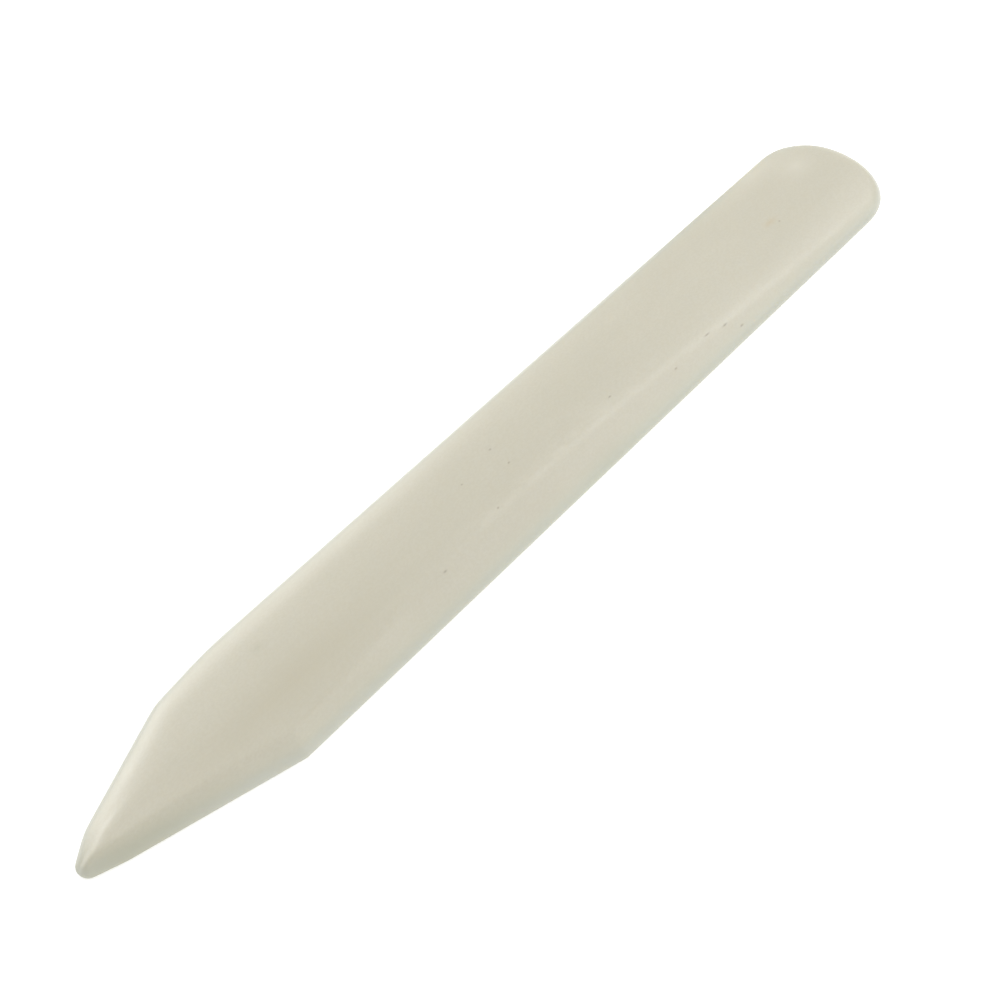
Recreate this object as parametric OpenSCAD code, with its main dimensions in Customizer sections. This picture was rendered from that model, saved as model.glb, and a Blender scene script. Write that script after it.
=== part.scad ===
// Bone folder: one solid blade of polished bone, with a long blunt point and a thin round end.
// The blade lies along X, its point towards -X, and rests on its flat underside at z = 0.
// Its +Y side is the belly side, where the point swells in two soft steps.
// Its -Y side is the shoulder side, where the point starts at a crisp corner.

/* [Blade] */
// Overall length
length = 152; // [145:1:170]
// Width between the two parallel long edges
width = 19.5; // [18:0.1:22]
// Thickness of the crown from the point to the middle
thickness = 3.6; // [3.2:0.1:4.5]
// Thickness of the crown at the round end, before its bevel
end_thickness = 2.3; // [2:0.1:2.8]
// Thickness of the crown at the point, before its bevels
point_thickness = 2.6; // [2.2:0.1:3]
// Radius of the crown across the width
crown_radius = 45; // [40:1:100]
// How far the crest of the crown lies from the centre line, towards the shoulder side
crest_offset = 3; // [0:0.5:4]

/* [Point] */
// Radius of the blunt tip, seen from above
tip_radius = 1.6; // [1.2:0.1:1.8]
// How far the tip sits from the centre line, towards the shoulder side
tip_offset = 0.85; // [0.5:0.05:1.2]
// Distance from the tip to the crisp shoulder
shoulder_run = 27.3; // [24:0.1:32]
// Distance from the tip to the slight bend near it on the shoulder side
nose_run = 4.8; // [4:0.1:6]
// How far that bend lies inside the shoulder side's long edge
nose_inset = 6.05; // [5.8:0.05:6.3]
// Distance from the tip to the slight bend near it on the belly side
cheek_run = 3.7; // [3.2:0.1:5]
// How far that bend lies inside the belly side's long edge
cheek_inset = 7.2; // [6.8:0.05:7.4]
// Distance from the tip to the belly's step
belly_run = 20; // [17:0.1:22]
// How far that step lies inside the belly side's long edge
belly_inset = 1; // [0.6:0.05:1.6]
// Distance from the tip to where the belly meets the long edge
belly_end_run = 29.3; // [27:0.1:34]

/* [Round end] */
// Length of the round end along the blade
cap_length = 9.2; // [8:0.1:9.5]
// Squareness of the round end, 2 being an ellipse
cap_power = 2.3; // [2:0.05:2.8]

/* [Edges] */
// Height of the side wall, where the bevels start
wall_height = 1.2; // [0.9:0.1:1.4]
// Slope of the bevel along the shoulder side, in degrees
shoulder_bevel = 26; // [20:1:30]
// Slope of the bevel along the belly side, in degrees
belly_bevel = 34; // [20:1:40]
// Slope that the shoulder side's bevel steepens to along the point, in degrees
point_bevel = 45; // [30:1:50]
// Slope of the bevels round both ends, in degrees
end_bevel = 40; // [25:1:45]
// Width over which the edges are rounded
edge_round = 0.8; // [0.5:0.1:1]
// Softness of the line where the shoulder side's bevel meets the crown
shoulder_ridge = 0.12; // [0.1:0.02:0.4]
// Softness of the line where the belly side's bevel meets the crown
belly_ridge = 0.5; // [0.1:0.05:0.6]

/* [Smoothness] */
// Number of cross-sections along the blade
sections = 70; // [40:2:90]
// Number of points across the upper and lower face of a cross-section
across = 18; // [12:1:26]

/* [Hidden] */

half_length = length / 2;
half_width = width / 2;
tip_x = tip_radius - half_length;
cap_x = half_length - cap_length;
// Softness of the corners in the outline: the belly's are rounded, the shoulder is crisp
belly_softness = 0.12;
shoulder_softness = 0.02;
// The rim turns over at this height, and the underside's rim is tighter than the upper one
rim_z = 0.5;
under_round = 0.6 * edge_round;
// The underside is made this much too low and then cut off flat at z = 0
under_cut = 0.12;
// The crown thins over this stretch towards the round end, and from point_from_x to the point
thin_from_x = -5;
thin_to_x = 68;
point_from_x = -50;
// How late the thinning towards the point comes: 1 is even, and more is later
point_power = 1.5;
// The shoulder side's bevel steepens and narrows over this stretch towards the point
steep_from_x = -22;
steep_to_x = -54;
// Over this width the bevels of the two sides run into each other along the point
bevel_softness = 0.4;
// One side's slope gives way to the other's over this share of the width
slope_change = 0.4;
// No section stands nearer to an end than this, so that no ring shrinks to a line
end_gap = 0.004;

// Smallest of a list of values, with the corners between them rounded off
function soft_min(values, softness) =
    let (low = min(values))
    low - softness * ln(sum([for (v = values) exp((low - v) / softness)]));

function sum(values) = [for (v = values) 1] * values;

// A line through two points, as its slope and its height at x = 0
function line(a, b) =
    let (slope = (b[1] - a[1]) / (b[0] - a[0]))
    [slope, a[1] - slope * a[0]];

// The lines through a row of points, and then the long edge
function chain(points) =
    concat([for (i = [1:len(points) - 1]) line(points[i - 1], points[i])], [[0, half_width]]);

function height_on(l, x) = l[0] * x + l[1];

// How far a point is below a line, square to the line
function depth_under(l, p) = (height_on(l, p[0]) - p[1]) / norm([1, l[0]]);

// Where the line from a point to the tip touches the tip's circle; side is 1 for +Y and -1 for -Y
function tip_touch(from, side) =
    let (centre = [tip_x, -side * tip_offset],
         reach = centre - from,
         turn = atan2(reach[1], reach[0]) - asin(tip_radius / norm(reach)),
         run = sqrt(reach * reach - tip_radius ^ 2))
    from + run * [cos(turn), sin(turn)];

// A corner of the outline, from its distance to the tip and to the long edge of its side
function corner(run, inset) = [run - half_length, half_width - inset];

// Each side of the outline is a chain of lines from the tip's circle through its corners to the
// long edge, drawn as if that side were +Y
cheek = corner(cheek_run, cheek_inset);
belly_step = corner(belly_run, belly_inset);
belly_end = corner(belly_end_run, 0);
nose_bend = corner(nose_run, nose_inset);
shoulder = corner(shoulder_run, 0);
belly_touch = tip_touch(cheek, 1);
nose_touch = tip_touch(nose_bend, -1);
belly_lines = chain([belly_touch, cheek, belly_step, belly_end]);
shoulder_lines = chain([nose_touch, nose_bend, shoulder]);

// Half-width of one side at x, from the tip's circle, the chain of lines and the round end
function tip_side(x, offset) = offset + sqrt(max(0, tip_radius ^ 2 - (x - tip_x) ^ 2));
function cap_share(x) =
    let (t = min(1, max(0, (x - cap_x) / cap_length)))
    (1 - t ^ cap_power) ^ (1 / cap_power);
function chain_side(x, lines, softness) =
    cap_share(x) * soft_min([for (l = lines) height_on(l, x)], softness);
function belly_side(x) =
    x < belly_touch[0] ? tip_side(x, -tip_offset) : chain_side(x, belly_lines, belly_softness);
function shoulder_side(x) =
    x < nose_touch[0] ? tip_side(x, tip_offset) : chain_side(x, shoulder_lines, shoulder_softness);

// How far a point lies inside each part of the outline
function inside_chain(lines, p, softness) =
    max(0, soft_min([for (l = lines) depth_under(l, p)], softness));
function inside_tip(x, y) =
    let (p = [x - tip_x, y + tip_offset],
         beyond_touches = p * (belly_touch - cheek) > 0
             && [p[0], -p[1]] * (nose_touch - nose_bend) > 0)
    beyond_touches ? max(0, tip_radius - norm(p)) : length;
function inside_cap(x, y) =
    let (from = max(0, x - cap_x),
         level = (from / cap_length) ^ cap_power + (abs(y) / half_width) ^ cap_power)
    from == 0 ? length : max(0, norm([from, y]) * (level ^ (-1 / cap_power) - 1));

// How far a value is from start to end, kept between 0 and 1, and the same with soft ends
function along(x, start, end) = min(1, max(0, (x - start) / (end - start)));
function eased(x, start, end) =
    let (t = along(x, start, end))
    t * t * (3 - 2 * t);

// Height of the crown before any bevel is ground
function crown_z(x, y) =
    thickness
    - (thickness - end_thickness) * eased(x, thin_from_x, thin_to_x)
    - (thickness - point_thickness) * along(x, point_from_x, -half_length) ^ point_power
    - (y + crest_offset) ^ 2 / (2 * crown_radius);

// Height of the bevels: one along each side, which meet along the point, and one round the end.
// towards_belly goes from 0 on the shoulder side to 1 on the belly side
function bevel_z(x, depth, towards_belly) =
    let (steep = eased(x, steep_from_x, steep_to_x),
         shoulder_slope = tan(shoulder_bevel) * (1 - steep) + tan(point_bevel) * steep,
         side_slope = shoulder_slope * (1 - towards_belly) + tan(belly_bevel) * towards_belly,
         end_share = along(x, cap_x, half_length),
         slope = side_slope * (1 - end_share) + tan(end_bevel) * end_share)
    wall_height + max(0, depth) * slope;

// Quarter of a circle, from 0 at the rim to 1 at the end of the rounding
function rim_curve(distance, radius) =
    let (t = min(1, distance / radius))
    sqrt(t * (2 - t));

// Height of the upper and the lower face at a point, given how far it lies inside the belly
// side, the shoulder side, the round end and the tip
function upper_z(x, y, distances) =
    let (belly_depth = distances[0],
         shoulder_depth = distances[1],
         side_depth = soft_min([belly_depth, shoulder_depth], bevel_softness),
         balance = (shoulder_depth - belly_depth) / max(end_gap, shoulder_depth + belly_depth),
         towards_belly = eased(balance, -slope_change, slope_change),
         softness = shoulder_ridge * (1 - towards_belly) + belly_ridge * towards_belly,
         bevel = bevel_z(x, x > cap_x ? distances[2] : side_depth, towards_belly),
         nose = wall_height + (x + half_length) * tan(end_bevel),
         face = soft_min([crown_z(x, y), bevel, nose], softness))
    rim_z + (face - rim_z) * rim_curve(min(distances), edge_round);
function lower_z(distances) =
    rim_z - (rim_z + under_cut) * rim_curve(min(distances), under_round);
function distances_at(x, y) = [
    inside_chain(belly_lines, [x, y], belly_softness),
    inside_chain(shoulder_lines, [x, -y], shoulder_softness),
    inside_cap(x, y),
    inside_tip(x, y)
];

// Sections stand close together at both ends, with one more exactly at each corner of the outline
even_x = [for (i = [0:sections - 1])
    -(half_length - end_gap) * cos(180 * i / (sections - 1))];
corner_x = [nose_touch[0], belly_touch[0], tip_x, cheek[0], nose_bend[0], belly_step[0],
            shoulder[0], belly_end[0], cap_x];
min_gap = 0.12;
function near_corner(x) = min([for (c = corner_x) abs(x - c)]) < min_gap;
function sorted(values) =
    len(values) < 2 ? values :
    let (middle = values[floor(len(values) / 2)])
    concat(sorted([for (v = values) if (v < middle) v]),
           [middle],
           sorted([for (v = values) if (v > middle) v]));
section_x = sorted(concat([for (x = even_x) if (!near_corner(x)) x], corner_x));

// One ring of a section: across the upper face towards +Y, then back across the lower face
function ring(x) =
    let (low = -shoulder_side(x), high = belly_side(x))
    [for (i = [0:2 * across - 1])
        let (share = (1 - cos(180 * i / across)) / 2,
             y = low + (high - low) * share,
             distances = distances_at(x, y),
             z = i == 0 || i == across ? rim_z :
                 i < across ? upper_z(x, y, distances) : lower_z(distances))
        [x, y, z]];

module bone_blade() {
    ring_size = 2 * across;
    last = len(section_x) - 1;
    points = [for (x = section_x) each ring(x)];
    skin = [for (s = [0:last - 1], i = [0:ring_size - 1])
        let (a = s * ring_size + i, b = s * ring_size + (i + 1) % ring_size)
        each [[a, b, b + ring_size], [a, b + ring_size, a + ring_size]]];
    tip_face = [for (i = [ring_size - 1:-1:0]) i];
    round_face = [for (i = [0:ring_size - 1]) last * ring_size + i];
    color("#d1cdbc")
    intersection() {
        polyhedron(points, concat(skin, [tip_face, round_face]));
        translate([-length, -width, 0]) cube([2 * length, 2 * width, 2 * thickness]);
    }
}

bone_blade();
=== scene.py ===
import math

import bmesh
import bpy
from bpy.props import FloatProperty, FloatVectorProperty, IntProperty, PointerProperty, StringProperty
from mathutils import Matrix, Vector, noise


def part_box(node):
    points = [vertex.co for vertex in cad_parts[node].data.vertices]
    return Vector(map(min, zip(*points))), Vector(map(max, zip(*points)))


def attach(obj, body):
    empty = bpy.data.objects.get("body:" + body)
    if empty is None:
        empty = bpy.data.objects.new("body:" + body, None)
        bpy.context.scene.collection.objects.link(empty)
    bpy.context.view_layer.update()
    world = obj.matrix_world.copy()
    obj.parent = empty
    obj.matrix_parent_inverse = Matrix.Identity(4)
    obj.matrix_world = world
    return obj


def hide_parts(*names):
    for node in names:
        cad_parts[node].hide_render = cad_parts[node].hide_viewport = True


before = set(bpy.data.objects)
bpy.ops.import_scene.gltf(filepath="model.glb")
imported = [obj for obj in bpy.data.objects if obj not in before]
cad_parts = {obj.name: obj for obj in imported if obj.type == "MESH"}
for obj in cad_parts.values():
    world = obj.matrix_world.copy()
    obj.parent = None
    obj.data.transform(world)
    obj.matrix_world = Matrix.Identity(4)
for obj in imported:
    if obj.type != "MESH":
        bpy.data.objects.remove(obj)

bl_info = {
    "name": "Bone Folder",
    "version": (1, 0, 0),
    "blender": (4, 5, 0),
    "location": "3D View > Sidebar > Bone Folder",
    "description": "A bone folder of polished cattle bone on a pale floor in soft light",
    "category": "Object",
}

# The blade's frame: X runs along it with the point at -X, +Y is the belly side, -Y the shoulder
# side, and it lies on z = 0. Shape functions below work in millimetres.
NODE = "bone_blade"
MM = 0.001
LOW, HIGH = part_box(NODE)
HALF_LENGTH = (HIGH.x - LOW.x) / 2 / MM
HALF_WIDTH = (HIGH.y - LOW.y) / 2 / MM
THICKNESS = (HIGH.z - LOW.z) / MM
FAR_INSIDE = 1000.0
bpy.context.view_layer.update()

# Small open pores where blood vessels ran, worn smooth by the polish:
# x, y, half-length, half-width and depth of each, on the upper face
PORES = [
    (-2.3, 2.8, 0.17, 0.12, 0.03),
    (-2.5, -0.6, 0.15, 0.10, 0.03),
    (-9.0, 1.7, 0.13, 0.09, 0.02),
    (-8.8, -4.3, 0.14, 0.10, 0.02),
    (-20.2, -5.6, 0.26, 0.10, 0.03),
    (14.7, -3.4, 0.22, 0.10, 0.03),
    (24.9, -6.7, 0.20, 0.09, 0.03),
    (32.4, -6.2, 0.50, 0.10, 0.04),
    (35.6, -6.9, 0.38, 0.10, 0.04),
    (37.6, -8.4, 0.30, 0.10, 0.03),
    (57.0, -0.7, 0.13, 0.10, 0.02),
]

# Faint spots of another tint: x, y, half-length, half-width, name of the tint and its strength
SPOTS = [
    # The two pale spots below make the round end and its belly edge lighter
    (68.5, 4.5, 5.5, 4.2, "pale", 1.0),
    (64.0, 9.0, 14.0, 4.5, "pale", 0.8),
    (55.9, 0.2, 2.4, 1.1, "ochre", 0.4),
    (-43.1, 4.1, 1.9, 1.3, "olive", 0.3),
    (7.5, -9.0, 11.0, 2.2, "olive", 0.25),
    (12.0, -10.2, 80.0, 3.2, "greenish", 0.5),
]


class BladeShape(bpy.types.PropertyGroup):
    """Sizes of the blade that its own box doesn't give."""

    tip_radius: FloatProperty(
        name="Tip radius", description="Radius of the blunt tip, seen from above",
        default=1.6 * MM, min=1.2 * MM, max=1.8 * MM, unit="LENGTH")
    tip_offset: FloatProperty(
        name="Tip offset", description="How far the tip sits towards the shoulder side",
        default=0.85 * MM, min=0.5 * MM, max=1.2 * MM, unit="LENGTH")
    shoulder_run: FloatProperty(
        name="Shoulder", description="Distance from the tip to the crisp shoulder",
        default=27.3 * MM, min=24 * MM, max=32 * MM, unit="LENGTH")
    nose_run: FloatProperty(
        name="Nose bend", description="Distance from the tip to the bend on the shoulder side",
        default=4.8 * MM, min=4 * MM, max=6 * MM, unit="LENGTH")
    nose_inset: FloatProperty(
        name="Nose inset", description="How far the nose bend lies inside the long edge",
        default=6.05 * MM, min=5.8 * MM, max=6.3 * MM, unit="LENGTH")
    cheek_run: FloatProperty(
        name="Cheek bend", description="Distance from the tip to the first bend on the belly side",
        default=3.7 * MM, min=3.2 * MM, max=5 * MM, unit="LENGTH")
    cheek_inset: FloatProperty(
        name="Cheek inset", description="How far the cheek bend lies inside the long edge",
        default=7.2 * MM, min=6.8 * MM, max=7.4 * MM, unit="LENGTH")
    belly_run: FloatProperty(
        name="Belly step", description="Distance from the tip to the belly's step",
        default=20 * MM, min=17 * MM, max=22 * MM, unit="LENGTH")
    belly_inset: FloatProperty(
        name="Belly inset", description="How far the belly's step lies inside the long edge",
        default=1 * MM, min=0.6 * MM, max=1.6 * MM, unit="LENGTH")
    belly_end_run: FloatProperty(
        name="Belly end", description="Distance from the tip to where the belly meets the long edge",
        default=29.3 * MM, min=27 * MM, max=34 * MM, unit="LENGTH")
    cap_length: FloatProperty(
        name="Round end length", description="Length of the round end along the blade",
        default=9.2 * MM, min=8 * MM, max=9.5 * MM, unit="LENGTH")
    cap_power: FloatProperty(
        name="Round end squareness", description="2 is an ellipse, more is squarer",
        default=2.3, min=2, max=2.8)
    end_thickness: FloatProperty(
        name="Round end thickness", description="Thickness of the crown at the round end",
        default=2.3 * MM, min=2 * MM, max=2.8 * MM, unit="LENGTH")
    point_thickness: FloatProperty(
        name="Point thickness", description="Thickness of the crown at the point",
        default=2.6 * MM, min=2.2 * MM, max=3 * MM, unit="LENGTH")
    crown_radius: FloatProperty(
        name="Crown radius", description="Radius of the crown across the width",
        default=45 * MM, min=40 * MM, max=100 * MM, unit="LENGTH")
    crest_offset: FloatProperty(
        name="Crest offset", description="How far the crown's crest lies towards the shoulder side",
        default=3 * MM, min=0, max=4 * MM, unit="LENGTH")
    wall_height: FloatProperty(
        name="Wall height", description="Height of the side wall, where the bevels start",
        default=1.2 * MM, min=0.9 * MM, max=1.4 * MM, unit="LENGTH")
    shoulder_bevel: FloatProperty(
        name="Shoulder bevel", description="Slope of the bevel along the shoulder side",
        default=math.radians(26), min=math.radians(20), max=math.radians(30), subtype="ANGLE")
    belly_bevel: FloatProperty(
        name="Belly bevel", description="Slope of the bevel along the belly side",
        default=math.radians(34), min=math.radians(20), max=math.radians(40), subtype="ANGLE")
    point_bevel: FloatProperty(
        name="Point bevel", description="Slope that the shoulder's bevel steepens to at the point",
        default=math.radians(45), min=math.radians(30), max=math.radians(50), subtype="ANGLE")
    end_bevel: FloatProperty(
        name="End bevel", description="Slope of the bevels round both ends",
        default=math.radians(40), min=math.radians(25), max=math.radians(45), subtype="ANGLE")
    edge_round: FloatProperty(
        name="Edge rounding", description="Width over which the upper edges are rounded",
        default=0.8 * MM, min=0.5 * MM, max=1 * MM, unit="LENGTH")
    shoulder_ridge: FloatProperty(
        name="Shoulder ridge", description="Softness of the line where the shoulder's bevel starts",
        default=0.12 * MM, min=0.1 * MM, max=0.4 * MM, unit="LENGTH")
    belly_ridge: FloatProperty(
        name="Belly ridge", description="Softness of the line where the belly's bevel starts",
        default=0.5 * MM, min=0.1 * MM, max=0.6 * MM, unit="LENGTH")
    waviness: FloatProperty(
        name="Waviness", description="Height of the slow waves that hand grinding leaves",
        default=0.02 * MM, min=0, max=0.1 * MM, unit="LENGTH")
    rows: IntProperty(
        name="Rows", description="Number of mesh rows along the blade", default=420, min=100, max=600)
    columns: IntProperty(
        name="Columns", description="Number of mesh columns across the blade",
        default=60, min=30, max=80)


class BoneFinish(bpy.types.PropertyGroup):
    """Colours and polish of the bone."""

    ivory: StringProperty(
        name="Ivory", description="Main colour of the bone, as sRGB hex", default="#CBC7B6")
    marrow: StringProperty(
        name="Marrow tint", description="Warmer tint of the dense middle", default="#C3BDA8")
    # The pale tint lightens streaks and, through two of the spots, the round end
    pale: StringProperty(
        name="Pale tint", description="Lighter streaks and the thin round end", default="#D4D0C0")
    greenish: StringProperty(
        name="Greenish tint", description="Cool tint of the thin edges", default="#C6C8B6")
    # The rim tint is partly painted shade along the edges, partly the neutral grey of thin bone
    rim: StringProperty(
        name="Rim tint", description="Neutral grey of the rim, where the bone is thin",
        default="#BEC0B5")
    # Olive is painted shade along the point's shoulder side, and a grey-green tint in two of the
    # spots
    olive: StringProperty(
        name="Olive", description="Grey-green shade along the point's shoulder side and in spots",
        default="#B2B19B")
    ochre: StringProperty(
        name="Ochre", description="A trace of old fat near the round end", default="#C6B189")
    # The pore colour is dirt in the pores and painted shade in their hollows
    pore: StringProperty(
        name="Pore colour", description="Dirt in the small open pores", default="#8C7E6A")
    roughness: FloatProperty(
        name="Roughness", description="Roughness of the hand polish", default=0.3, min=0.1, max=0.8,
        subtype="FACTOR")


class StudioSettings(bpy.types.PropertyGroup):
    """Camera, floor and lights."""

    aim: FloatVectorProperty(
        name="Aim", description="Point on the floor that the camera looks at",
        default=(-0.0058, -0.0020, 0.0), size=3, subtype="TRANSLATION", unit="LENGTH")
    azimuth: FloatProperty(
        name="Azimuth", description="Direction of view, 0 looking along +Y",
        default=math.radians(-48.75), subtype="ANGLE")
    elevation: FloatProperty(
        name="Elevation", description="Height of the camera above the horizon",
        default=math.radians(54.28), subtype="ANGLE")
    distance: FloatProperty(
        name="Distance", description="From the camera to its aim", default=0.2248, unit="LENGTH")
    lens: FloatProperty(
        name="Lens", description="Focal length on a 36 mm sensor", default=62.44, unit="CAMERA")
    floor_size: FloatProperty(
        name="Floor size", description="Side of the square floor", default=6.0, unit="LENGTH")
    floor_colour: StringProperty(
        name="Floor colour", description="Colour of the floor", default="#F8F8F8")


def soft_min(values, softness):
    """Smallest of the values, with the corners between them rounded off."""
    low = min(values)
    return low - softness * math.log(sum(math.exp((low - v) / softness) for v in values))


def share(x, start, end):
    """How far x is from start to end, kept between 0 and 1."""
    return min(1.0, max(0.0, (x - start) / (end - start)))


def eased(x, start, end):
    """The same with soft ends."""
    t = share(x, start, end)
    return t * t * (3 - 2 * t)


def rim_curve(distance, radius):
    """Quarter of a circle, from 0 at the rim to 1 at the end of the rounding."""
    t = min(1.0, distance / radius)
    return math.sqrt(t * (2 - t))


def line(a, b):
    """A line through two points, as its slope and its height at x = 0."""
    slope = (b.y - a.y) / (b.x - a.x)
    return slope, a.y - slope * a.x


class Outline:
    """The blade seen from above. Each side is a chain of lines, drawn as if that side were +Y."""

    # How far the corners of each side are rounded off: soft on the belly side, crisp on the shoulder
    belly_softness = 0.12
    shoulder_softness = 0.02

    def __init__(self, shape):
        self.tip_radius = shape.tip_radius / MM
        self.tip = Vector((self.tip_radius - HALF_LENGTH, -shape.tip_offset / MM))
        self.cap_x = HALF_LENGTH - shape.cap_length / MM
        self.cap_length = shape.cap_length / MM
        self.cap_power = shape.cap_power
        cheek = self.corner(shape.cheek_run, shape.cheek_inset)
        belly_step = self.corner(shape.belly_run, shape.belly_inset)
        belly_end = self.corner(shape.belly_end_run, 0)
        nose_bend = self.corner(shape.nose_run, shape.nose_inset)
        shoulder = self.corner(shape.shoulder_run, 0)
        self.belly_touch = self.tip_touch(cheek, 1)
        self.nose_touch = self.tip_touch(nose_bend, -1)
        self.belly_heading = self.belly_touch - cheek
        self.nose_heading = self.nose_touch - nose_bend
        self.belly = (
            self.chain([self.belly_touch, cheek, belly_step, belly_end]), self.belly_softness)
        self.shoulder = (
            self.chain([self.nose_touch, nose_bend, shoulder]), self.shoulder_softness)

    @staticmethod
    def corner(run, inset):
        """A corner of the outline, from its distance to the tip's end and to the long edge."""
        return Vector((run / MM - HALF_LENGTH, HALF_WIDTH - inset / MM))

    @staticmethod
    def chain(points):
        """The lines through neighbouring points, and last the straight long edge."""
        return [line(a, b) for a, b in zip(points, points[1:])] + [(0.0, HALF_WIDTH)]

    def tip_touch(self, start, side):
        """Where the line from a corner touches the tip's circle; side is 1 for +Y, -1 for -Y."""
        reach = Vector((self.tip.x, side * self.tip.y)) - start
        turn = math.atan2(reach.y, reach.x) - math.asin(self.tip_radius / reach.length)
        run = math.sqrt(reach.length_squared - self.tip_radius ** 2)
        return start + run * Vector((math.cos(turn), math.sin(turn)))

    def edge(self, x, side):
        """Half-width of one side at x."""
        touch, (lines, softness) = (
            (self.belly_touch, self.belly) if side > 0 else (self.nose_touch, self.shoulder))
        if x < touch.x:
            arc = math.sqrt(max(0.0, self.tip_radius ** 2 - (x - self.tip.x) ** 2))
            return side * self.tip.y + arc
        t = share(x, self.cap_x, HALF_LENGTH)
        cap = (1 - t ** self.cap_power) ** (1 / self.cap_power)
        return cap * soft_min([slope * x + height for slope, height in lines], softness)

    def distances(self, x, y):
        """How far a point lies inside the belly side, the shoulder side, the round end, the tip."""
        found = []
        for side, (lines, softness) in ((1, self.belly), (-1, self.shoulder)):
            depths = [(slope * x + height - side * y) / math.hypot(1, slope)
                      for slope, height in lines]
            found.append(max(0.0, soft_min(depths, softness)))
        beyond = x - self.cap_x
        if beyond > 0:
            level = ((beyond / self.cap_length) ** self.cap_power
                     + (abs(y) / HALF_WIDTH) ** self.cap_power)
            found.append(max(0.0, math.hypot(beyond, y) * (level ** (-1 / self.cap_power) - 1)))
        else:
            found.append(FAR_INSIDE)
        from_tip = Vector((x, y)) - self.tip
        mirrored = Vector((from_tip.x, -from_tip.y))
        if from_tip.dot(self.belly_heading) > 0 and mirrored.dot(self.nose_heading) > 0:
            found.append(max(0.0, self.tip_radius - from_tip.length))
        else:
            found.append(FAR_INSIDE)
        return found


class Surface:
    """Heights of the blade's upper and lower face."""

    rim_z = 0.5
    # The crown thins over this stretch towards the round end, and from point_start to the point
    thin_start, thin_end = -5.0, 68.0
    point_start = -50.0
    # Over this stretch the shoulder's bevel steepens and narrows towards the point
    steep_start, steep_end = -22.0, -54.0
    # Over this width the bevels of the two sides run into each other along the point
    bevel_softness = 0.4
    # One side's slope gives way to the other's over this share of the width
    slope_change = 0.4
    # Above 1, the point thins slowly at first and faster towards its end
    point_power = 1.5
    # The lower edge is rounded over this share of the upper edge's rounding
    under_share = 0.6
    # Length and width of the grinding waves, which are lowered so that they cut in more than they
    # stand out
    wave_length, wave_width = 23.0, 7.0
    wave_middle = 0.5
    # How fast a pore's hollow and its darkening, dirt with painted shade, fade outwards, and where
    # they stop, in its own half-sizes
    hollow_fade, dirt_fade = 1.4, 0.9
    pore_reach = 2

    def __init__(self, shape, outline):
        self.shape = shape
        self.outline = outline
        self.belly_slope = math.tan(shape.belly_bevel)
        self.shoulder_slope = math.tan(shape.shoulder_bevel)
        self.point_slope = math.tan(shape.point_bevel)
        self.end_slope = math.tan(shape.end_bevel)
        self.edge_round = shape.edge_round / MM
        self.under_round = self.under_share * self.edge_round

    def crown(self, x, y):
        """Height of the crown before any bevel is ground."""
        s = self.shape
        thin = (THICKNESS - s.end_thickness / MM) * eased(x, self.thin_start, self.thin_end)
        to_point = share(x, self.point_start, -HALF_LENGTH)
        fine = (THICKNESS - s.point_thickness / MM) * to_point ** self.point_power
        from_crest = y + s.crest_offset / MM
        return THICKNESS - thin - fine - from_crest ** 2 / (2 * s.crown_radius / MM)

    def bevel(self, x, depth, towards_belly):
        """Height of the bevels: one along each side, meeting along the point, and the round end's."""
        steep = eased(x, self.steep_start, self.steep_end)
        shoulder_slope = self.shoulder_slope * (1 - steep) + self.point_slope * steep
        side_slope = shoulder_slope * (1 - towards_belly) + self.belly_slope * towards_belly
        end_share = share(x, self.outline.cap_x, HALF_LENGTH)
        slope = side_slope * (1 - end_share) + self.end_slope * end_share
        return self.shape.wall_height / MM + max(0.0, depth) * slope

    def upper(self, x, y, distances):
        """Height of the upper face: the lowest of crown, bevels and nose, rounded at the rim."""
        s = self.shape
        belly, shoulder, cap, _ = distances
        depth = cap if x > self.outline.cap_x else soft_min([belly, shoulder], self.bevel_softness)
        balance = (shoulder - belly) / max(1e-6, shoulder + belly)
        towards_belly = eased(balance, -self.slope_change, self.slope_change)
        softness = (s.shoulder_ridge * (1 - towards_belly) + s.belly_ridge * towards_belly) / MM
        nose = s.wall_height / MM + (x + HALF_LENGTH) * self.end_slope
        face = soft_min([self.crown(x, y), self.bevel(x, depth, towards_belly), nose], softness)
        rim = rim_curve(min(distances), self.edge_round)
        place = Vector((x / self.wave_length, y / self.wave_width, 0.0))
        wave = s.waviness / MM * (noise.noise(place) - self.wave_middle) * rim
        return self.rim_z + (face - self.rim_z) * rim + wave

    def lower(self, distances):
        """Height of the lower face, flat at 0 inside its rounded rim."""
        return self.rim_z - self.rim_z * rim_curve(min(distances), self.under_round)

    def pore(self, x, y):
        """Depth of the pores at a point, and how dark their dirt and painted shade make it."""
        depth = dark = 0.0
        for px, py, half_length, half_width, deepest in PORES:
            r2 = ((x - px) / half_length) ** 2 + ((y - py) / half_width) ** 2
            if r2 < self.pore_reach ** 2:
                depth += deepest * math.exp(-self.hollow_fade * r2)
                dark = max(dark, math.exp(-self.dirt_fade * r2))
        return depth, dark


def station_x(t):
    """Place along the blade of a mesh row, t going from 0 to 1, closer together at both ends."""
    end_gap = 0.01
    evenness = 0.12
    spread = evenness * (2 * t - 1) - (1 - evenness) * math.cos(math.pi * t)
    return (HALF_LENGTH - end_gap) * spread


def column_y(c, columns, low, high, edge_round):
    """Place across the blade of a mesh column. The first and last few follow the rounded edge."""
    rim_columns = 7
    # The rounding takes at most this share of the width
    rim_share = 0.25
    radius = min(edge_round, rim_share * (high - low))
    back = min(c, columns - c)
    if back <= rim_columns:
        inset = radius * (1 - math.cos(math.pi / 2 * back / rim_columns))
    else:
        middle = (high - low) / 2 - radius
        inset = radius + middle * (back - rim_columns) / (columns / 2 - rim_columns)
    return low + inset if c <= columns / 2 else high - inset


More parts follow.
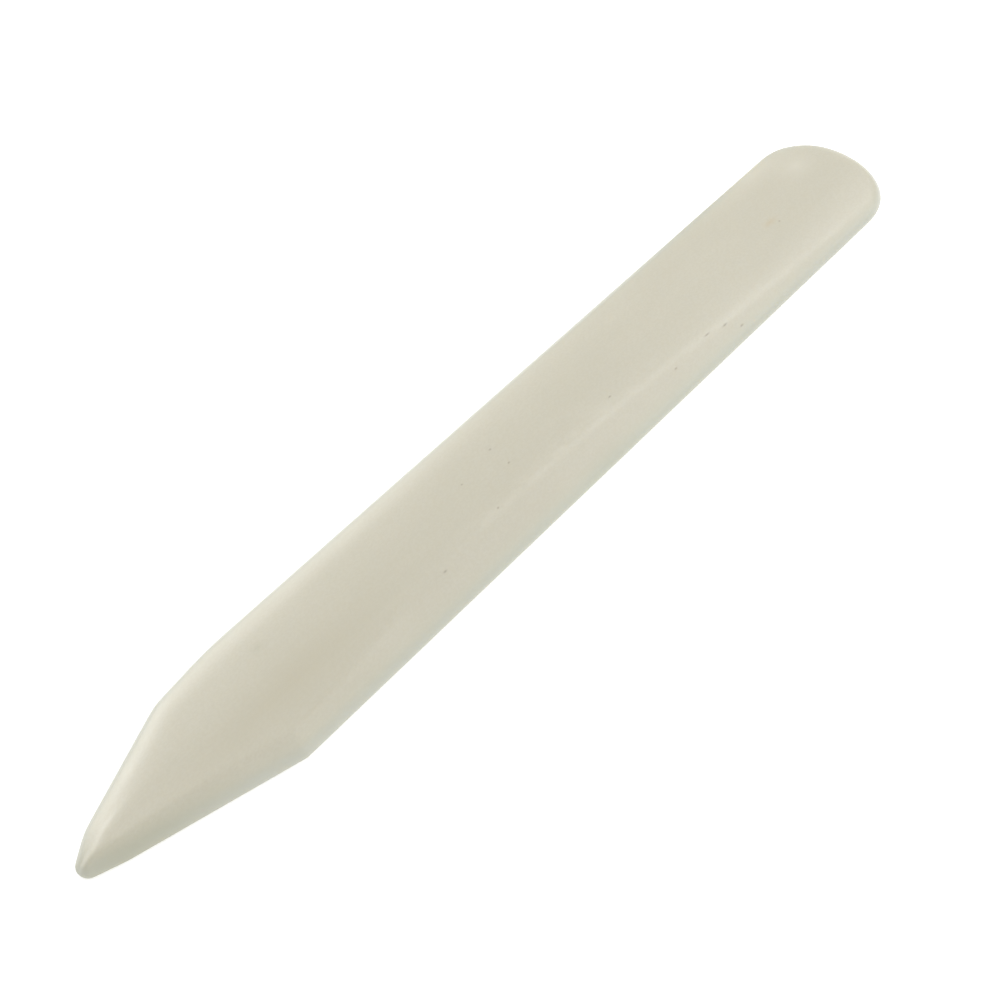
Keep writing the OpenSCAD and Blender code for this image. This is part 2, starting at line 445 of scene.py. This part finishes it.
# The grid that the skin starts from has sides of 1. Its upper face is lifted off its rim, so that
# the mirror joins the two faces only there
HALF_GRID = 0.5
LIFT = 0.1
TINY = 1e-6
# Finer mesh reaches this far past each pore, in millimetres, with this many cuts of each edge
PORE_MARGIN = 0.3
PORE_CUTS = 4


def make_blade_mesh(shape):
    """The blade as one closed skin: a grid for the upper face, mirrored below, joined at the rim."""
    outline = Outline(shape)
    surface = Surface(shape, outline)
    rows, columns = shape.rows, shape.columns
    bm = bmesh.new()
    bmesh.ops.create_grid(bm, x_segments=rows, y_segments=columns, size=HALF_GRID)
    for v in bm.verts:
        on_rim = max(abs(v.co.x), abs(v.co.y)) > HALF_GRID - TINY
        v.co.z = 0.0 if on_rim else LIFT
    bmesh.ops.mirror(bm, geom=bm.verts[:] + bm.edges[:] + bm.faces[:], axis="Z", merge_dist=1e-5)

    # A face at a corner of the grid has three points on the rim. Each is split from the corner to
    # its inner point, because a split across the corner would leave a flap with no thickness
    corners = [v for v in bm.verts if min(abs(v.co.x), abs(v.co.y)) > HALF_GRID - TINY]
    inner = [v for corner in corners for face in corner.link_faces for v in face.verts
             if abs(v.co.z) > TINY]
    bmesh.ops.connect_verts(bm, verts=corners + inner)

    def flat_place(co):
        """Where a point of the grid lies on the blade, seen from above."""
        x = station_x(co.x + HALF_GRID)
        low, high = -outline.edge(x, -1), outline.edge(x, 1)
        return x, column_y((co.y + HALF_GRID) * columns, columns, low, high, surface.edge_round)

    # Finer mesh round each pore, so that its hollow has enough faces to be smooth
    near = []
    for face in bm.faces:
        centre = face.calc_center_median()
        if centre.z > LIFT / 2:
            x, y = flat_place(centre)
            if any(abs(x - px) < surface.pore_reach * half_length + PORE_MARGIN
                   and abs(y - py) < surface.pore_reach * half_width + PORE_MARGIN
                   for px, py, half_length, half_width, _ in PORES):
                near.append(face)
    edges = {edge for face in near for edge in face.edges}
    bmesh.ops.subdivide_edges(bm, edges=list(edges), cuts=PORE_CUTS, use_grid_fill=True)

    # How dark each point is made by the dirt and the painted shade in the pores
    dirt = bm.verts.layers.float.new("pore_dirt_and_shade")
    inset = bm.verts.layers.float.new("edge_inset")
    for v in bm.verts:
        side = v.co.z
        x, y = flat_place(v.co)
        distances = outline.distances(x, y)
        v[inset] = min(distances)
        if abs(side) < TINY:
            z = surface.rim_z
        elif side > 0:
            depth, v[dirt] = surface.pore(x, y)
            z = surface.upper(x, y, distances) - depth
        else:
            z = surface.lower(distances)
        v.co = Vector((x, y, z)) * MM
    bmesh.ops.recalc_face_normals(bm, faces=bm.faces[:])
    for face in bm.faces:
        face.smooth = True
    mesh = bpy.data.meshes.new("blade")
    bm.to_mesh(mesh)
    bm.free()
    return mesh


def linear(hex_colour):
    """An sRGB hex colour as the linear RGBA that shaders take."""
    values = [int(hex_colour[i:i + 2], 16) / 255 for i in (1, 3, 5)]
    return [v / 12.92 if v <= 0.04045 else ((v + 0.055) / 1.055) ** 2.4 for v in values] + [1.0]


def add_node(tree, kind, inputs=None, **settings):
    """A node with its settings. Each input is a value, or a socket that it is linked from."""
    made = tree.nodes.new(kind)
    for name, value in settings.items():
        setattr(made, name, value)
    for name, value in (inputs or {}).items():
        if isinstance(value, bpy.types.NodeSocket):
            tree.links.new(value, made.inputs[name])
        else:
            made.inputs[name].default_value = value
    return made


def layer(tree, colour, tint, where, strength, edges=None):
    """The colour with a tint laid over it, up to a strength where a pattern is high. Edges are the
    pattern's values where the tint starts and where it is full."""
    if edges:
        stretched = add_node(tree, "ShaderNodeMapRange", {
            "Value": where, "From Min": edges[0], "From Max": edges[1],
        }, interpolation_type="SMOOTHSTEP")
        where = stretched.outputs["Result"]
    amount = add_node(tree, "ShaderNodeMath", {0: where, 1: strength}, operation="MULTIPLY")
    # Sockets 6 and 7 and output 2 are a Mix node's colour ones
    mixed = add_node(tree, "ShaderNodeMix", {
        0: amount.outputs["Value"], 6: colour, 7: linear(tint)}, data_type="RGBA")
    return mixed.outputs[2]


def grain(tree, place, length, width, detail=3.0, offset=0.0):
    """Noise in streaks of a real length along the blade and width across it, in millimetres."""
    scale = (1 / (length * MM), 1 / (width * MM), 1 / (width * MM))
    mapped = add_node(tree, "ShaderNodeMapping", {
        "Vector": place, "Scale": scale, "Location": (offset, offset, offset)})
    made = add_node(tree, "ShaderNodeTexNoise", {
        "Vector": mapped.outputs["Vector"], "Scale": 1.0, "Detail": detail, "Roughness": 0.55})
    return made.outputs["Fac"]


def patch(tree, place, centre, size):
    """1 in the middle of an oval patch, falling to 0 at its rim. Centre and half-size along and
    across the blade are in millimetres; the patch reaches right through the blade."""
    middle_z, half_height = 2, 20
    mapped = add_node(tree, "ShaderNodeMapping", {
        "Vector": place,
        "Location": [c * MM for c in (*centre, middle_z)],
        "Scale": [s * MM for s in (*size, half_height)],
    }, vector_type="TEXTURE")
    made = add_node(tree, "ShaderNodeTexGradient", {"Vector": mapped.outputs["Vector"]},
                    gradient_type="QUADRATIC_SPHERE")
    return made.outputs["Fac"]


def polished_bone(finish):
    """Polished cattle leg bone. Dense and slightly see-through, so light softens in it and thin
    edges look paler; its fibres and canals run lengthwise, and the polish is silky, not glassy."""
    material = bpy.data.materials.new("polished_bone")
    material.use_nodes = True
    tree = material.node_tree
    tree.nodes.clear()
    place = add_node(tree, "ShaderNodeTexCoord").outputs["Object"]
    inset = add_node(tree, "ShaderNodeAttribute", attribute_name="edge_inset").outputs["Fac"]
    dirt = add_node(tree, "ShaderNodeAttribute", attribute_name="pore_dirt_and_shade").outputs["Fac"]

    clouds = grain(tree, place, 26, 9, detail=2)
    streaks = grain(tree, place, 14, 0.9, detail=4, offset=3)
    # Real fibres are about 0.1 mm wide and the canals' specks 0.05 mm, too fine to show from here,
    # so the fibres are drawn three times as coarse and the specks six to eight times
    fibres = grain(tree, place, 5, 0.3, detail=1, offset=7)
    specks = grain(tree, place, 0.4, 0.3, detail=1, offset=13)
    blotches = grain(tree, place, 3.5, 1.3, detail=3, offset=17)
    dense = patch(tree, place, (-44, -2.5), (32, 7))
    # A band along the shoulder's ridge, where the pale blotches are partly a painted highlight
    ridge_highlight_band = add_node(tree, "ShaderNodeMath", {
        0: patch(tree, place, (2, -4.3), (48, 2.4)), 1: 0.7}, operation="MULTIPLY").outputs["Value"]
    painted_point_shade = patch(tree, place, (-75, -5), (27, 8))

    colour = linear(finish.ivory)
    colour = layer(tree, colour, finish.pale, clouds, strength=0.3, edges=(0.35, 0.7))
    colour = layer(tree, colour, finish.marrow, dense, strength=0.8)
    colour = layer(tree, colour, finish.pale, streaks, strength=0.12, edges=(0.45, 0.75))
    colour = layer(tree, colour, finish.marrow, fibres, strength=0.08, edges=(0.5, 0.8))
    colour = layer(tree, colour, finish.marrow, specks, strength=0.28, edges=(0.3, 0.7))
    # Pale blotches along the shoulder's ridge: pale mottling, and partly a painted highlight along
    # that ridge
    colour = layer(tree, colour, finish.pale, blotches, strength=ridge_highlight_band, edges=(0.4, 0.7))
    # The inset is the distance from the rim in millimetres, so these tints follow the edges
    colour = layer(tree, colour, finish.greenish, inset, strength=0.3, edges=(2.6, 0.0))
    # Painted shade and the neutral grey of thin bone: the rim is darkened where the edge rounds over
    # and turns down towards the floor
    colour = layer(tree, colour, finish.rim, inset, strength=0.7, edges=(1.3, 0.1))
    # Painted shade: the olive tint darkens the rim band along the point's shoulder side, where that
    # facet turns away from the light
    colour = layer(tree, colour, finish.olive, inset, strength=painted_point_shade, edges=(2.8, 0.4))
    for x, y, half_length, half_width, tint, strength in SPOTS:
        spot = patch(tree, place, (x, y), (half_length, half_width))
        colour = layer(tree, colour, getattr(finish, tint), spot, strength)
    # The pores are darkened: dirt in them, and painted shade in their hollows
    colour = layer(tree, colour, finish.pore, dirt, strength=0.6)

    # The polish varies a little. Its roughness is kept above 0.25: patches below that give
    # hard-edged marks in fast renders
    polish = grain(tree, place, 9, 2.5, detail=3, offset=11)
    roughness = add_node(tree, "ShaderNodeMapRange", {
        "Value": polish, "From Min": 0.2, "From Max": 0.8,
        "To Min": finish.roughness - 0.02, "To Max": finish.roughness + 0.05,
    }, interpolation_type="SMOOTHSTEP")
    # Lengthwise scratches of the finest paper, really about 0.05 mm apart and drawn 0.25 mm apart
    # so that they show, and the fibres under them
    scratches = grain(tree, place, 12, 0.25, detail=0, offset=5)
    lines = add_node(tree, "ShaderNodeBump", {
        "Strength": 0.1, "Distance": 0.01 * MM, "Height": scratches})
    relief = add_node(tree, "ShaderNodeBump", {
        "Strength": 0.1, "Distance": 0.02 * MM, "Height": fibres, "Normal": lines.outputs["Normal"]})
    shader = add_node(tree, "ShaderNodeBsdfPrincipled", {
        "Base Color": colour,
        "Roughness": roughness.outputs["Result"],
        "IOR": 1.55,
        "Normal": relief.outputs["Normal"],
        "Subsurface Weight": 0.3,
        "Subsurface Radius": (1.0, 0.85, 0.6),
        "Subsurface Scale": 1.2 * MM,
    })
    add_node(tree, "ShaderNodeOutputMaterial", {"Surface": shader.outputs["BSDF"]})
    return material


def matt_board(colour):
    """White coated board for the floor: plain and matt, so it shows no reflection of its own."""
    material = bpy.data.materials.new("matt_board")
    material.use_nodes = True
    tree = material.node_tree
    tree.nodes.clear()
    shader = add_node(tree, "ShaderNodeBsdfPrincipled", {
        "Base Color": linear(colour), "Roughness": 0.9, "Specular IOR Level": 0.1,
        "Emission Color": linear(colour), "Emission Strength": 0.4})
    add_node(tree, "ShaderNodeOutputMaterial", {"Surface": shader.outputs["BSDF"]})
    return material


def add_object(name, data):
    """A new object in the scene, at the origin."""
    made = bpy.data.objects.new(name, data)
    bpy.context.scene.collection.objects.link(made)
    return made


def softbox(name, azimuth, elevation, size, brightness):
    """A soft light that faces the blade. Azimuth counts from +X towards +Y, in degrees; size is
    width and height in metres; brightness is against a white surface's."""
    distance = 0.8
    turn, rise = math.radians(azimuth), math.radians(elevation)
    towards = Vector((math.cos(turn) * math.cos(rise), math.sin(turn) * math.cos(rise),
                      math.sin(rise)))
    light = bpy.data.lights.new(name, "AREA")
    light.shape = "RECTANGLE"
    light.size, light.size_y = size
    light.energy = brightness * math.pi * size[0] * size[1]
    made = add_object(name, light)
    made.location = towards * distance
    made.rotation_mode = "QUATERNION"
    made.rotation_quaternion = (-towards).to_track_quat("-Z", "Y")


def room(strength):
    """Even light from the white room all round, which looks pure white beyond the floor."""
    world = bpy.data.worlds.new("room")
    bpy.context.scene.world = world
    world.use_nodes = True
    tree = world.node_tree
    tree.nodes.clear()
    white = (1.0, 1.0, 1.0, 1.0)
    # Only what is seen past the floor's edge is this white; the blade's light has the strength asked
    seen = add_node(tree, "ShaderNodeLightPath").outputs["Is Camera Ray"]
    light = add_node(tree, "ShaderNodeBackground", {"Strength": strength, "Color": white})
    paper = add_node(tree, "ShaderNodeBackground", {"Strength": 1.0, "Color": white})
    both = add_node(tree, "ShaderNodeMixShader", {
        0: seen, 1: light.outputs["Background"], 2: paper.outputs["Background"]})
    add_node(tree, "ShaderNodeOutputWorld", {"Surface": both.outputs["Shader"]})


class MakeBlade(bpy.types.Operator):
    """Make the bone blade"""

    bl_idname = "bone_folder.make_blade"
    bl_label = "Blade"

    def execute(self, context):
        mesh = make_blade_mesh(context.scene.blade_shape)
        mesh.materials.append(polished_bone(context.scene.bone_finish))
        blade = add_object("blade", mesh)
        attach(blade, "root")
        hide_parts(NODE)
        return {"FINISHED"}


class MakeStudio(bpy.types.Operator):
    """Make the floor, the lights and the camera"""

    bl_idname = "bone_folder.make_studio"
    bl_label = "Studio"

    def execute(self, context):
        studio = context.scene.studio_settings
        bm = bmesh.new()
        bmesh.ops.create_grid(bm, x_segments=1, y_segments=1, size=studio.floor_size / 2)
        mesh = bpy.data.meshes.new("floor")
        bm.to_mesh(mesh)
        bm.free()
        mesh.materials.append(matt_board(studio.floor_colour))
        add_object("floor", mesh)

        room(0.71)
        softbox("behind_low", 88, 15, (0.65, 0.36), 2.1)
        softbox("belly_streak", 92, 13, (0.2, 0.14), 3.0)
        softbox("behind_high", 108, 42, (0.4, 0.4), 1.1)
        softbox("round_end", 2, 50, (0.32, 0.34), 2.7)
        softbox("shoulder_side", -36, 40, (0.5, 0.4), 1.5)
        softbox("front_low", -45, 16, (0.8, 0.4), 0.7)

        camera = add_object("camera", bpy.data.cameras.new("camera"))
        camera.data.sensor_width = 36
        camera.data.lens = studio.lens
        camera.data.clip_start = 0.01
        camera.data.clip_end = 20
        flat = math.cos(studio.elevation)
        back = Vector((math.sin(studio.azimuth) * flat, -math.cos(studio.azimuth) * flat,
                       math.sin(studio.elevation)))
        camera.location = Vector(studio.aim) + back * studio.distance
        camera.rotation_mode = "QUATERNION"
        camera.rotation_quaternion = (-back).to_track_quat("-Z", "Y")
        context.scene.camera = camera
        context.scene.view_settings.view_transform = "Standard"
        return {"FINISHED"}


class BoneFolderPanel(bpy.types.Panel):
    """The bone folder's pieces, sizes and finish"""

    bl_idname = "VIEW3D_PT_bone_folder"
    bl_label = "Bone Folder"
    bl_space_type = "VIEW_3D"
    bl_region_type = "UI"
    bl_category = "Bone Folder"

    def draw(self, context):
        scene = context.scene
        for group in (scene.blade_shape, scene.bone_finish, scene.studio_settings):
            box = self.layout.box()
            for name in group.__annotations__:
                box.prop(group, name)
        for operator in OPERATORS:
            self.layout.operator(operator.bl_idname)


OPERATORS = (MakeBlade, MakeStudio)
GROUPS = {"blade_shape": BladeShape, "bone_finish": BoneFinish, "studio_settings": StudioSettings}


def register():
    """Add the sizes, the operators and the panel."""
    for made in (*GROUPS.values(), *OPERATORS, BoneFolderPanel):
        bpy.utils.register_class(made)
    for name, group in GROUPS.items():
        setattr(bpy.types.Scene, name, PointerProperty(type=group))


def unregister():
    """Take them away again."""
    for name in GROUPS:
        delattr(bpy.types.Scene, name)
    for made in reversed((*GROUPS.values(), *OPERATORS, BoneFolderPanel)):
        bpy.utils.unregister_class(made)


def main():
    """Make everything."""
    register()
    bpy.ops.bone_folder.make_blade()
    bpy.ops.bone_folder.make_studio()


if __name__ == "__main__":
    main()
